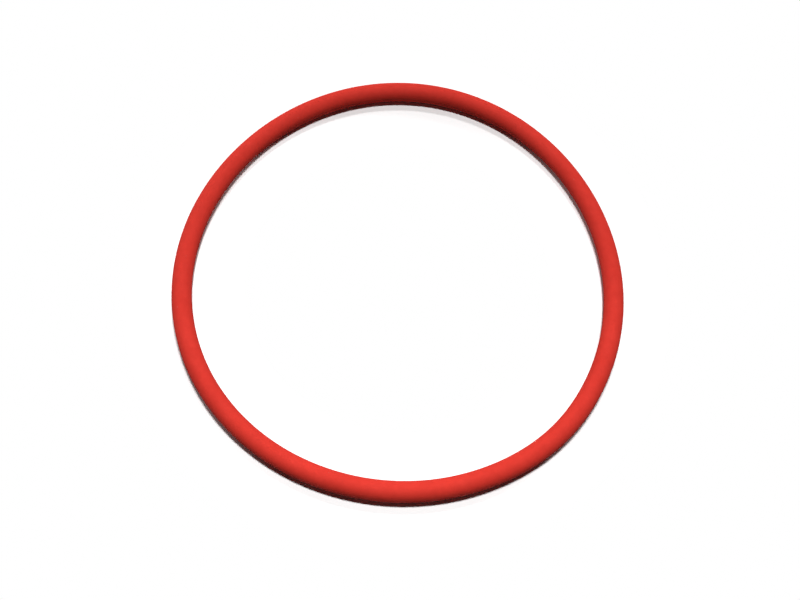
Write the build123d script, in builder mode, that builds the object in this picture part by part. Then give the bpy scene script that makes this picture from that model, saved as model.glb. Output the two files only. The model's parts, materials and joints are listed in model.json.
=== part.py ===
"""O-ring: one moulded ring of red silicone rubber, round in section.

The ring lies in the XY plane with its axis on Z. The origin is the centre of the ring, in the
middle plane where the two mould halves meet. All sizes are in millimetres.

The mould leaves a thin flash where its halves meet, round the inside and round the outside of
the ring. Trimming it flush leaves a narrow flat land on each, so the section is a circle with
two small flats. The inside diameter is measured across the inner land, as a gauge reads it.
"""

from build123d import *

import os
from math import sqrt

# Driving dimensions
INSIDE_DIAMETER = 73.0
SECTION_DIAMETER = 3.5
LAND_WIDTH = 0.3  # height of each trimmed flat, along the ring's axis

# The section, measured from its own centre
SECTION_RADIUS = SECTION_DIAMETER / 2
LAND_OFFSET = sqrt(SECTION_RADIUS**2 - (LAND_WIDTH / 2) ** 2)

# The circle that the section's centre follows, from which both lands stand LAND_OFFSET away
CENTRELINE_RADIUS = INSIDE_DIAMETER / 2 + LAND_OFFSET

with BuildPart() as o_ring:
    with BuildSketch(Plane.XZ):
        with Locations((CENTRELINE_RADIUS, 0)):
            Circle(SECTION_RADIUS)
            Rectangle(2 * LAND_OFFSET, SECTION_DIAMETER, mode=Mode.INTERSECT)
    revolve(axis=Axis.Z)

o_ring.part.label = "o_ring"

os.makedirs("parts", exist_ok=True)
export_step(o_ring.part, "parts/o_ring.step")

outside_diameter = 2 * (CENTRELINE_RADIUS + LAND_OFFSET)
print(f"inside {INSIDE_DIAMETER:.3f}, outside {outside_diameter:.3f}, section {SECTION_DIAMETER:.3f}")
print(f"centreline radius {CENTRELINE_RADIUS:.3f}, volume {o_ring.part.volume:.1f} cubic mm")
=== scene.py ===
"""Silicone o-ring: one moulded ring of red rubber, round in section, lying on a pale table.

The ring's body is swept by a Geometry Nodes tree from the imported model's own sizes. It lies a
little out of round, as a limp ring does. Inside and outside it has a narrow land, where the
flash left by the mould was trimmed off.
Run as a script, this builds the ring, its finish, the table, the light and the camera.
All lengths are in metres and all angles in radians unless a name says otherwise.
"""

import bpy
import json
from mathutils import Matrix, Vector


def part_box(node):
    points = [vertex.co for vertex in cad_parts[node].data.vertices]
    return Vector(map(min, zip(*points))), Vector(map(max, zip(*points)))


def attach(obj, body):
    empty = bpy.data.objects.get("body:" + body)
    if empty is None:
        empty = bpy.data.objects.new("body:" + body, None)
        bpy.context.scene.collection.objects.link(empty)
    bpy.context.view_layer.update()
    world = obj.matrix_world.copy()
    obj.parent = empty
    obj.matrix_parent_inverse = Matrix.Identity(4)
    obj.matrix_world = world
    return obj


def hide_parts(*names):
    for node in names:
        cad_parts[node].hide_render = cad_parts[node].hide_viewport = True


bl_info = {
    "name": "Silicone O-Ring",
    "version": (1, 0, 0),
    "blender": (4, 5, 0),
    "location": "View3D > Sidebar > O-Ring",
    "description": "Builds a moulded silicone rubber o-ring and a plain stage to see it on",
    "category": "Object",
}

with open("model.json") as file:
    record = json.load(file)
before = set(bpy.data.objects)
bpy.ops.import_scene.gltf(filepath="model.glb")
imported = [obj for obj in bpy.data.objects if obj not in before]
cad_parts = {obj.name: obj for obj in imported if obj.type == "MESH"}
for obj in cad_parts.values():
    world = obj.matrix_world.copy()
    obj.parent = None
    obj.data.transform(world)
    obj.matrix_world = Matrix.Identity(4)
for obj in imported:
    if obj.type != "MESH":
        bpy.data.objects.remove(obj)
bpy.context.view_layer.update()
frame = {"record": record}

import json
from math import cos, pi, radians, sin

import bmesh
import bpy
from bpy.props import (
    FloatProperty,
    FloatVectorProperty,
    IntProperty,
    PointerProperty,
)
from mathutils import Matrix, Vector

MM = 0.001
NODE = "o_ring"
PIECE = "silicone_ring"

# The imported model's own sizes: its two trimmed lands are mounts, and its height is the section's
RECORD = frame["record"]
LANDS = {mount["name"]: mount["dims"] for mount in RECORD["mounts"]}
INNER_LAND = LANDS["shaft_seat"]["r_mm"] * MM
OUTER_LAND = LANDS["housing_seat"]["r_mm"] * MM
LAND_HEIGHT = LANDS["shaft_seat"]["length_mm"] * MM
LOWEST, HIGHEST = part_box(NODE)
SECTION_RADIUS = (HIGHEST.z - LOWEST.z) / 2
CENTRELINE_RADIUS = (INNER_LAND + OUTER_LAND) / 2

# The bake's map is cut into this many strips, stacked, which gives the thin ring even detail.
# The margin is the share of a strip's height left empty at each side.
STRIPS = 5
STRIP_MARGIN = 0.04
BAKE_MAP = "OFBake"

# The range that nearly all of a noise texture's values fall in
NOISE_LOW = 0.3
NOISE_HIGH = 0.7

# Pigment: broad clouds and a finer mottle, and what the palest places have added to their colour
CLOUD_SIZE = 9 * MM
MOTTLE_SIZE = 1.1 * MM
PALE_TINT = Vector((0.0, 0.004, 0.003))

# Lands: how ragged and how soft their edges are, and what trimming does to the surface
RAGGED_SIZE = 0.5 * MM
RAGGED_REACH = 0.03 * MM
LAND_SOFTNESS = 0.02 * MM
TEAR_SIZE = 0.09 * MM
FROST_SHARE = 0.3
FROST_DIMMING = 0.94
FROST_TINT = Vector((0.05, 0.035, 0.035))
LAND_ROUGHER = 0.1

# Dust: the space between specks, then, as shares of it, where a speck fades and where it ends
DUST_SPACE = 3.2 * MM
DUST_FADE = 0.02
DUST_END = 0.045
DUST_SHARE = 0.5
DUST_COLOUR = (0.62, 0.12, 0.10, 1.0)

# Skin: how much its roughness varies, over what distance, and how it reflects
UNEVEN_SIZE = 2.4 * MM
UNEVENNESS = 0.05
SILICONE_IOR = 1.41
REFLECTION_LEVEL = 0.2

# Each square lamp's place, the point it faces, its width in metres and its power in watts
LAMPS = {
    "top_lamp": ((0.005, 0.06, 0.39), (0.0, -0.80, 0.18), 0.075, 2.60),
    "back_lamp": ((0.0, 0.28, 0.42), (0.0, -0.25, 0.0), 0.04, 0.62),
    "right_lamp": ((0.35, 0.35, 0.27), (0.0, -0.25, 0.0), 0.15, 0.53),
    "low_left_lamp": ((-0.40, 0.30, 0.13), (0.0, -0.25, 0.0), 0.20, 0.72),
}

# How far from the ring's centreline the table keeps its shadow, and from where it is plain white,
# in section radii
SHADOW_REACH = 2.5
WHITE_REACH = 6.0

# Nothing nearer to the camera than this is drawn
NEAREST_SEEN = 0.01


class RingShape(bpy.types.PropertyGroup):
    """The sizes of the ring's body."""

    centreline_radius: FloatProperty(
        name="Centreline radius",
        description="From the ring's axis to the centre of its section",
        default=CENTRELINE_RADIUS,
        min=0.001,
        unit="LENGTH",
        precision=5,
    )
    section_radius: FloatProperty(
        name="Section radius",
        description="Half the thickness of the rubber",
        default=SECTION_RADIUS,
        min=0.0001,
        unit="LENGTH",
        precision=5,
    )
    land_height: FloatProperty(
        name="Land height",
        description="Height of the flat left where the mould flash was trimmed",
        default=LAND_HEIGHT,
        min=0.0,
        unit="LENGTH",
        precision=5,
    )
    lobe_count: IntProperty(
        name="Lobes",
        description="How many gentle waves the limp ring has as it lies",
        default=3,
        min=1,
    )
    lobe_height: FloatProperty(
        name="Lobe height",
        description="How far each lobe stands outside a true circle",
        default=0.355 * MM,
        unit="LENGTH",
        precision=5,
    )
    lobe_turn: FloatProperty(
        name="Lobe turn",
        description="Where the first lobe is, round the ring from +X",
        default=radians(86.4),
        subtype="ANGLE",
    )
    bulge_height: FloatProperty(
        name="Bulge height",
        description="How far the one soft bulge, left by a bend in storage, stands out",
        default=0.24 * MM,
        unit="LENGTH",
        precision=5,
    )
    bulge_turn: FloatProperty(
        name="Bulge turn",
        description="Where the soft bulge is, round the ring from +X",
        default=radians(318.0),
        subtype="ANGLE",
    )
    bulge_width: FloatProperty(
        name="Bulge width",
        description="How far the soft bulge spreads to each side",
        default=radians(11.0),
        min=radians(1.0),
        subtype="ANGLE",
    )
    steps_round: IntProperty(
        name="Steps round",
        description="Rows of faces along the ring; a multiple of the bake map's strips",
        default=480,
        min=60,
    )
    steps_section: IntProperty(
        name="Steps in section",
        description="Faces round the section; twice an odd number puts a corner at the very top",
        default=74,
        min=12,
    )


class RingFinish(bpy.types.PropertyGroup):
    """The look of the rubber."""

    red: FloatVectorProperty(
        name="Red",
        description="Colour of clean rubber",
        default=(0.72, 0.037, 0.024),
        size=3,
        min=0.0,
        max=1.0,
        subtype="COLOR",
    )
    cloudiness: FloatProperty(
        name="Cloudiness",
        description="How much the pigment varies from place to place",
        default=0.10,
        min=0.0,
        max=1.0,
        subtype="FACTOR",
    )
    roughness: FloatProperty(
        name="Roughness",
        description="Middle roughness of the matt skin",
        default=0.80,
        min=0.0,
        max=1.0,
        subtype="FACTOR",
    )
    grain_size: FloatProperty(
        name="Grain size",
        description="Size of the fine texture left by the mould",
        default=0.18 * MM,
        min=0.00001,
        unit="LENGTH",
        precision=5,
    )
    grain_depth: FloatProperty(
        name="Grain depth",
        description="Depth of the fine texture left by the mould",
        default=0.006 * MM,
        min=0.0,
        unit="LENGTH",
        precision=6,
    )


class StageSettings(bpy.types.PropertyGroup):
    """The table, the light and the camera."""

    table_width: FloatProperty(
        name="Table width",
        description="Width of the square table top",
        default=3.0,
        min=0.1,
        unit="LENGTH",
    )
    table_shade: FloatProperty(
        name="Table shade",
        description="How much light the table gives back to the ring",
        default=0.30,
        min=0.0,
        max=1.0,
        subtype="FACTOR",
    )
    table_gain: FloatProperty(
        name="Table brightness to the eye",
        description="Its shade as the camera sees it; over 1, it shows white and keeps the shadow",
        default=1.27,
        min=0.0,
    )
    sky: FloatProperty(
        name="Sky strength",
        description="Even light from all round",
        default=0.01,
        min=0.0,
    )
    lamp_level: FloatProperty(
        name="Lamp level",
        description="Brightens or dims every lamp together",
        default=1.0,
        min=0.0,
    )
    view_elevation: FloatProperty(
        name="View elevation",
        description="Height of the camera above the table, as an angle at the ring's centre",
        default=radians(67.54),
        subtype="ANGLE",
    )
    view_distance: FloatProperty(
        name="View distance",
        description="From the ring's centre to the camera",
        default=0.163,
        min=0.01,
        unit="LENGTH",
        precision=4,
    )
    view_aim: FloatVectorProperty(
        name="View aim",
        description="The point on the ring's middle plane at the centre of the view",
        default=(0.00035, -0.0044, 0.0),
        size=3,
        unit="LENGTH",
        precision=5,
    )
    view_roll: FloatProperty(
        name="View roll",
        description="How far the camera is turned about its own line of sight",
        default=radians(5.907),
        subtype="ANGLE",
    )
    lens_mm: FloatProperty(
        name="Lens",
        description="Focal length in millimetres on a 36 mm wide sensor",
        default=41.19,
        min=1.0,
    )


# Node helpers, for shader trees and geometry trees alike


def add_node(tree, kind, inputs=None, **settings):
    """Adds a node, sets what it is, then links or fills its inputs, each by name or number."""
    made = tree.nodes.new(kind)
    for name, value in settings.items():
        setattr(made, name, value)
    for key, value in (inputs or {}).items():
        if isinstance(value, bpy.types.NodeSocket):
            tree.links.new(value, made.inputs[key])
        else:
            made.inputs[key].default_value = value
    return made


def maths(tree, operation, *values):
    """One step of arithmetic, as the socket that holds its result."""
    return add_node(tree, "ShaderNodeMath", dict(enumerate(values)), operation=operation).outputs[0]


# The ring's body


def add_inputs(tree, kinds):
    """Gives the tree its named inputs."""
    for name, kind in kinds.items():
        tree.interface.new_socket(name=name, in_out="INPUT", socket_type=kind)


def sweep_path(tree, given):
    """The circle that the section follows, with its gentle lobes and its one soft bulge."""
    circle = add_node(
        tree,
        "GeometryNodeCurvePrimitiveCircle",
        {"Resolution": given["Steps Round"], "Radius": given["Centreline Radius"]},
    )
    place = add_node(tree, "GeometryNodeInputPosition").outputs["Position"]
    split = add_node(tree, "ShaderNodeSeparateXYZ", {"Vector": place})
    bearing = maths(tree, "ARCTAN2", split.outputs["Y"], split.outputs["X"])
    from_first = maths(tree, "SUBTRACT", bearing, given["Lobe Turn"])
    wave = maths(tree, "COSINE", maths(tree, "MULTIPLY", from_first, given["Lobes"]))
    lobes = maths(tree, "MULTIPLY", wave, given["Lobe Height"])
    from_bulge = maths(tree, "SUBTRACT", bearing, given["Bulge Turn"])
    drop = maths(tree, "SUBTRACT", maths(tree, "COSINE", from_bulge), 1.0)
    spread_squared = maths(tree, "POWER", given["Bulge Width"], 2.0)
    mound = maths(tree, "EXPONENT", maths(tree, "DIVIDE", drop, spread_squared))
    bulge = maths(tree, "MULTIPLY", mound, given["Bulge Height"])
    outward = add_node(tree, "ShaderNodeVectorMath", {0: place}, operation="NORMALIZE")
    shift = add_node(
        tree,
        "ShaderNodeVectorMath",
        {0: outward.outputs["Vector"], "Scale": maths(tree, "ADD", lobes, bulge)},
        operation="SCALE",
    )
    lobed = add_node(
        tree,
        "GeometryNodeSetPosition",
        {"Geometry": circle.outputs["Curve"], "Offset": shift.outputs["Vector"]},
    )
    upright = add_node(
        tree, "GeometryNodeSetCurveNormal", {"Curve": lobed.outputs["Geometry"]}, mode="Z_UP"
    )
    return upright.outputs["Curve"]


def section_outline(tree, given):
    """The rubber's section: two arcs, whose ends are joined by the straight lands."""
    circle = add_node(
        tree,
        "GeometryNodeCurvePrimitiveCircle",
        {"Resolution": given["Steps in Section"], "Radius": given["Section Radius"]},
    )
    half_steps = maths(tree, "DIVIDE", given["Steps in Section"], 2.0)
    index = add_node(tree, "GeometryNodeInputIndex").outputs["Index"]
    arc = maths(tree, "FLOOR", maths(tree, "DIVIDE", index, half_steps))
    along = maths(tree, "SUBTRACT", index, maths(tree, "MULTIPLY", arc, half_steps))
    share = maths(tree, "DIVIDE", along, maths(tree, "SUBTRACT", half_steps, 1.0))
    half_land = maths(tree, "DIVIDE", given["Land Height"], 2.0)
    land_angle = maths(tree, "ARCSINE", maths(tree, "DIVIDE", half_land, given["Section Radius"]))
    swept = maths(tree, "SUBTRACT", pi, maths(tree, "MULTIPLY", land_angle, 2.0))
    within = maths(tree, "ADD", land_angle, maths(tree, "MULTIPLY", share, swept))
    angle = maths(tree, "ADD", maths(tree, "MULTIPLY", arc, pi), within)
    place = add_node(
        tree,
        "ShaderNodeCombineXYZ",
        {
            "X": maths(tree, "MULTIPLY", maths(tree, "COSINE", angle), given["Section Radius"]),
            "Y": maths(tree, "MULTIPLY", maths(tree, "SINE", angle), given["Section Radius"]),
        },
    )
    outline = add_node(
        tree,
        "GeometryNodeSetPosition",
        {"Geometry": circle.outputs["Curve"], "Position": place.outputs["Vector"]},
    )
    return outline.outputs["Geometry"]


def ring_tree():
    """Sweeps the section round the path, and gives the result its material."""
    tree = bpy.data.node_groups.new("Ring body", "GeometryNodeTree")
    add_inputs(
        tree,
        {
            "Centreline Radius": "NodeSocketFloat",
            "Section Radius": "NodeSocketFloat",
            "Land Height": "NodeSocketFloat",
            "Lobes": "NodeSocketInt",
            "Lobe Height": "NodeSocketFloat",
            "Lobe Turn": "NodeSocketFloat",
            "Bulge Height": "NodeSocketFloat",
            "Bulge Turn": "NodeSocketFloat",
            "Bulge Width": "NodeSocketFloat",
            "Steps Round": "NodeSocketInt",
            "Steps in Section": "NodeSocketInt",
            "Rubber": "NodeSocketMaterial",
        },
    )
    tree.interface.new_socket(name="Ring", in_out="OUTPUT", socket_type="NodeSocketGeometry")
    given = add_node(tree, "NodeGroupInput").outputs
    swept = add_node(
        tree,
        "GeometryNodeCurveToMesh",
        {"Curve": sweep_path(tree, given), "Profile Curve": section_outline(tree, given)},
    )
    smooth = add_node(tree, "GeometryNodeSetShadeSmooth", {"Geometry": swept.outputs["Mesh"]})
    real = add_node(tree, "GeometryNodeRealizeInstances", {"Geometry": smooth.outputs["Geometry"]})
    dressed = add_node(
        tree,
        "GeometryNodeSetMaterial",
        {"Geometry": real.outputs["Geometry"], "Material": given["Rubber"]},
    )
    add_node(tree, "NodeGroupOutput", {"Ring": dressed.outputs["Geometry"]})
    return tree


def plain_mesh(tree, values, name):
    """Runs the tree on an empty object, and returns an object that holds its result as a mesh."""
    piece = bpy.data.objects.new(name, bpy.data.meshes.new(name))
    bpy.context.scene.collection.objects.link(piece)
    modifier = piece.modifiers.new(tree.name, "NODES")
    modifier.node_group = tree
    for socket in tree.interface.items_tree:
        if socket.in_out == "INPUT":
            modifier[socket.identifier] = values[socket.name]
    evaluated = piece.evaluated_get(bpy.context.evaluated_depsgraph_get())
    mesh = bpy.data.meshes.new_from_object(evaluated)
    piece.modifiers.remove(modifier)
    piece.data = mesh
    mesh.name = name
    return piece


def require_solid(mesh):
    """Raises an error unless the mesh is closed and its faces point outwards."""
    body = bmesh.new()
    body.from_mesh(mesh)
    closed = all(edge.is_manifold for edge in body.edges)
    volume = body.calc_volume(signed=True)
    body.free()
    if not closed or volume <= 0:
        raise RuntimeError(f"the ring is not a closed, outward solid: closed {closed}, volume {volume}")


def lay_bake_map(mesh, steps_round, steps_section):
    """Lays the ring's skin out as straight strips, one above another, so that a bake is even and sharp.

    The sweep numbers its faces and its vertices section by section along the ring, so a face's
    number gives its place. The last row's faces end on the first row's vertices.
    """
    layer = mesh.uv_layers.new(name=BAKE_MAP)
    rows_in_strip = steps_round // STRIPS
    for face in mesh.polygons:
        row, column = divmod(face.index, steps_section)
        strip, row_in_strip = divmod(row, rows_in_strip)
        for corner in face.loop_indices:
            vertex_row, vertex_column = divmod(mesh.loops[corner].vertex_index, steps_section)
            along = row_in_strip + (vertex_row != row)
            across = (column + (vertex_column != column)) / steps_section
            height = STRIP_MARGIN + across * (1 - 2 * STRIP_MARGIN)
            layer.uv[corner].vector = (along / rows_in_strip, (strip + height) / STRIPS)


# The rubber's finish


def noise(tree, place, size, seed, detail=2.0):
    """Even noise whose features are about this size, as a socket. Each seed is its own pattern."""
    made = add_node(
        tree,
        "ShaderNodeTexNoise",
        {"Vector": place, "W": seed, "Scale": 1 / size, "Detail": detail},
        noise_dimensions="4D",
    )
    return made.outputs["Fac"]


def spread(tree, value, low, high):
    """A noise's value, stretched to run from low to high."""
    made = add_node(
        tree,
        "ShaderNodeMapRange",
        {
            "Value": value,
            "From Min": NOISE_LOW,
            "From Max": NOISE_HIGH,
            "To Min": low,
            "To Max": high,
        },
    )
    return made.outputs["Result"]


def fall(tree, value, start, end, full):
    """Full up to the start, 0 from the end on, and straight between."""
    made = add_node(
        tree,
        "ShaderNodeMapRange",
        {"Value": value, "From Min": start, "From Max": end, "To Min": full, "To Max": 0.0},
    )
    return made.outputs["Result"]


def mixed(tree, share, first, second):
    """A colour between two, by share."""
    # In its colour mode, the node takes its two colours at inputs 6 and 7 and gives one at output 2
    made = add_node(
        tree, "ShaderNodeMix", {"Factor": share, 6: first, 7: second}, data_type="RGBA"
    )
    return made.outputs[2]


def land_mask(tree, place, land_height):
    """1 on the trimmed lands and 0 elsewhere, with a slightly ragged edge where the flash tore."""
    height = add_node(tree, "ShaderNodeSeparateXYZ", {"Vector": place}).outputs["Z"]
    ragged = spread(tree, noise(tree, place, RAGGED_SIZE, seed=3), -RAGGED_REACH, RAGGED_REACH)
    away = maths(tree, "ADD", maths(tree, "ABSOLUTE", height), ragged)
    edge = land_height / 2
    return fall(tree, away, edge - LAND_SOFTNESS, edge + LAND_SOFTNESS, 1.0)


def rubber_colour(tree, place, land, finish):
    """Red pigment, cloudy and mottled, paler where trimming frosted it, with a little dust."""
    red = Vector(finish.red)
    deep = (*(red * (1 - finish.cloudiness)), 1)
    pale = (*(red * (1 + finish.cloudiness / 2) + PALE_TINT), 1)
    clouds = spread(tree, noise(tree, place, CLOUD_SIZE, seed=1), 0.0, 1.0)
    mottle = spread(tree, noise(tree, place, MOTTLE_SIZE, seed=2, detail=3.0), 0.0, 1.0)
    pigment = maths(tree, "MULTIPLY", maths(tree, "ADD", clouds, mottle), 0.5)
    clean = mixed(tree, pigment, deep, pale)
    frosted = (*(red * FROST_DIMMING + FROST_TINT), 1)
    trimmed = mixed(tree, maths(tree, "MULTIPLY", land, FROST_SHARE), clean, frosted)
    cells = add_node(tree, "ShaderNodeTexVoronoi", {"Vector": place, "Scale": 1 / DUST_SPACE})
    speck = fall(tree, cells.outputs["Distance"], DUST_FADE, DUST_END, DUST_SHARE)
    return mixed(tree, speck, trimmed, DUST_COLOUR)


def rubber_roughness(tree, place, land, finish):
    """A matt skin, a little uneven, and rougher on the lands."""
    uneven = spread(tree, noise(tree, place, UNEVEN_SIZE, seed=4), -UNEVENNESS, UNEVENNESS)
    skin = maths(tree, "ADD", uneven, finish.roughness)
    return maths(tree, "ADD", skin, maths(tree, "MULTIPLY", land, LAND_ROUGHER))


def rubber_relief(tree, place, land, finish):
    """The mould's fine grain, and the torn surface of the lands."""
    grain = noise(tree, place, finish.grain_size, seed=5, detail=3.0)
    torn = maths(tree, "MULTIPLY", noise(tree, place, TEAR_SIZE, seed=6), land)
    height = maths(tree, "ADD", grain, torn)
    bump = add_node(
        tree, "ShaderNodeBump", {"Strength": 1.0, "Distance": finish.grain_depth, "Height": height}
    )
    return bump.outputs["Normal"]


def rubber_material(finish, shape):
    """Matt red silicone: cloudy pigment, a fine moulded grain, a frosted land and a little dust."""
    material = bpy.data.materials.new("Red silicone rubber")
    material.use_nodes = True
    tree = material.node_tree
    shader = tree.nodes["Principled BSDF"]
    place = add_node(tree, "ShaderNodeTexCoord").outputs["Object"]
    land = land_mask(tree, place, shape.land_height)
    tree.links.new(rubber_colour(tree, place, land, finish), shader.inputs["Base Color"])
    tree.links.new(rubber_roughness(tree, place, land, finish), shader.inputs["Roughness"])
    tree.links.new(rubber_relief(tree, place, land, finish), shader.inputs["Normal"])
    shader.inputs["IOR"].default_value = SILICONE_IOR
    shader.inputs["Specular IOR Level"].default_value = REFLECTION_LEVEL
    return material


# The table, the light and the camera


def seen_directly(tree):
    """1 for what the camera sees straight, in a reflection or through glass, and 0 for other light."""
    rays = add_node(tree, "ShaderNodeLightPath").outputs
    mirrored = maths(tree, "MAXIMUM", rays["Is Glossy Ray"], rays["Is Transmission Ray"])
    return maths(tree, "MAXIMUM", rays["Is Camera Ray"], mirrored)


def grey(shade):
    """A plain grey, as a colour socket takes it."""
    return (shade, shade, shade, 1.0)


def table_material(stage, shape):
    """A pale top that shows white, keeps the ring's shadow, and is plain white away from the ring."""
    material = bpy.data.materials.new("Pale table")
    material.use_nodes = True
    tree = material.node_tree
    tree.nodes.clear()
    lighting = add_node(tree, "ShaderNodeBsdfDiffuse", {"Color": grey(stage.table_shade)})
    shaded = add_node(tree, "ShaderNodeBsdfDiffuse", {"Color": grey(stage.table_gain)})
    white = add_node(tree, "ShaderNodeEmission", {"Color": grey(1.0), "Strength": 1.0})
    place = add_node(tree, "ShaderNodeTexCoord").outputs["Object"]
    radius = add_node(tree, "ShaderNodeVectorMath", {0: place}, operation="LENGTH").outputs["Value"]
    away = maths(tree, "ABSOLUTE", maths(tree, "SUBTRACT", radius, shape.centreline_radius))
    fade = add_node(
        tree,
        "ShaderNodeMapRange",
        {
            "Value": away,
            "From Min": SHADOW_REACH * shape.section_radius,
            "From Max": WHITE_REACH * shape.section_radius,
        },
    )
    viewed = add_node(
        tree,
        "ShaderNodeMixShader",
        {0: fade.outputs["Result"], 1: shaded.outputs[0], 2: white.outputs[0]},
    )
    top = add_node(
        tree,
        "ShaderNodeMixShader",
        {0: seen_directly(tree), 1: lighting.outputs[0], 2: viewed.outputs[0]},
    )
    add_node(tree, "ShaderNodeOutputMaterial", {"Surface": top.outputs[0]})
    return material


def make_table(stage, shape):
    """A square top just under the ring."""
    half = stage.table_width / 2
    drop = -shape.section_radius
    corners = [(-half, -half, drop), (half, -half, drop), (half, half, drop), (-half, half, drop)]
    mesh = bpy.data.meshes.new("table")
    mesh.from_pydata(corners, [], [(0, 1, 2, 3)])
    mesh.materials.append(table_material(stage, shape))
    table = bpy.data.objects.new("table", mesh)
    bpy.context.scene.collection.objects.link(table)


def make_lamps(stage):
    """Square soft lamps above and behind the ring, each facing its own point."""
    for name, (place, facing, width, power) in LAMPS.items():
        light = bpy.data.lights.new(name, "AREA")
        light.energy = power * stage.lamp_level
        light.size = width
        lamp = bpy.data.objects.new(name, light)
        lamp.location = place
        sight = Vector(facing) - lamp.location
        lamp.rotation_euler = sight.to_track_quat("-Z", "Y").to_euler()
        bpy.context.scene.collection.objects.link(lamp)


def make_sky(stage):
    """Even light from all round, which shows as a white backdrop beyond the table."""
    sky = bpy.data.worlds.new("Sky")
    sky.use_nodes = True
    tree = sky.node_tree
    tree.nodes.clear()
    lighting = add_node(tree, "ShaderNodeBackground", {"Color": grey(1.0), "Strength": stage.sky})
    viewed = add_node(tree, "ShaderNodeBackground", {"Color": grey(1.0), "Strength": 1.0})
    both = add_node(
        tree,
        "ShaderNodeMixShader",
        {0: seen_directly(tree), 1: lighting.outputs[0], 2: viewed.outputs[0]},
    )
    add_node(tree, "ShaderNodeOutputWorld", {"Surface": both.outputs[0]})
    bpy.context.scene.world = sky


def make_camera(stage):
    """A camera above and in front, turned a little about its own line of sight."""
    lens = bpy.data.cameras.new("camera")
    lens.lens = stage.lens_mm
    lens.clip_start = NEAREST_SEEN
    camera = bpy.data.objects.new("camera", lens)
    place = stage.view_distance * Vector((0, -cos(stage.view_elevation), sin(stage.view_elevation)))
    sight = (Vector(stage.view_aim) - place).to_track_quat("-Z", "Y").to_matrix().to_4x4()
    roll = Matrix.Rotation(stage.view_roll, 4, "Z")
    camera.matrix_world = Matrix.Translation(place) @ sight @ roll
    bpy.context.scene.collection.objects.link(camera)
    bpy.context.scene.camera = camera


# Operators, panel and registration


class MakeRing(bpy.types.Operator):
    """Build the moulded ring with its rubber finish"""

    bl_idname = "o_ring.make_ring"
    bl_label = "Make Ring"

    def execute(self, context):
        shape = context.scene.o_ring_shape
        if shape.steps_round % STRIPS or shape.steps_section % 2:
            raise ValueError(f"steps round must divide by {STRIPS}, and steps in section must be even")
        values = {
            "Centreline Radius": shape.centreline_radius,
            "Section Radius": shape.section_radius,
            "Land Height": shape.land_height,
            "Lobes": shape.lobe_count,
            "Lobe Height": shape.lobe_height,
            "Lobe Turn": shape.lobe_turn,
            "Bulge Height": shape.bulge_height,
            "Bulge Turn": shape.bulge_turn,
            "Bulge Width": shape.bulge_width,
            "Steps Round": shape.steps_round,
            "Steps in Section": shape.steps_section,
            "Rubber": rubber_material(context.scene.o_ring_finish, shape),
        }
        ring = plain_mesh(ring_tree(), values, PIECE)
        require_solid(ring.data)
        lay_bake_map(ring.data, shape.steps_round, shape.steps_section)
        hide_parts(NODE)
        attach(ring, "root")
        return {"FINISHED"}


class MakeStage(bpy.types.Operator):
    """Build the table, the soft lamps, the sky and the camera"""

    bl_idname = "o_ring.make_stage"
    bl_label = "Make Stage"

    def execute(self, context):
        stage = context.scene.o_ring_stage
        make_table(stage, context.scene.o_ring_shape)
        make_lamps(stage)
        make_sky(stage)
        make_camera(stage)
        return {"FINISHED"}


class RingPanel(bpy.types.Panel):
    """The ring's settings and its two operators."""

    bl_idname = "VIEW3D_PT_o_ring"
    bl_label = "O-Ring"
    bl_space_type = "VIEW_3D"
    bl_region_type = "UI"
    bl_category = "O-Ring"

    def draw(self, context):
        scene = context.scene
        for group in (scene.o_ring_shape, scene.o_ring_finish, scene.o_ring_stage):
            box = self.layout.box()
            for name in group.__annotations__:
                box.prop(group, name)
        self.layout.operator(MakeRing.bl_idname)
        self.layout.operator(MakeStage.bl_idname)


CLASSES = (RingShape, RingFinish, StageSettings, MakeRing, MakeStage, RingPanel)
SETTINGS = {
    "o_ring_shape": RingShape,
    "o_ring_finish": RingFinish,
    "o_ring_stage": StageSettings,
}


def register():
    for item in CLASSES:
        bpy.utils.register_class(item)
    for name, group in SETTINGS.items():
        setattr(bpy.types.Scene, name, PointerProperty(type=group))


def unregister():
    for name in SETTINGS:
        delattr(bpy.types.Scene, name)
    for item in reversed(CLASSES):
        bpy.utils.unregister_class(item)


def main():
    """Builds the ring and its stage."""
    register()
    bpy.context.scene.view_settings.view_transform = "Standard"
    bpy.ops.o_ring.make_ring()
    bpy.ops.o_ring.make_stage()


if __name__ == "__main__":
    main()
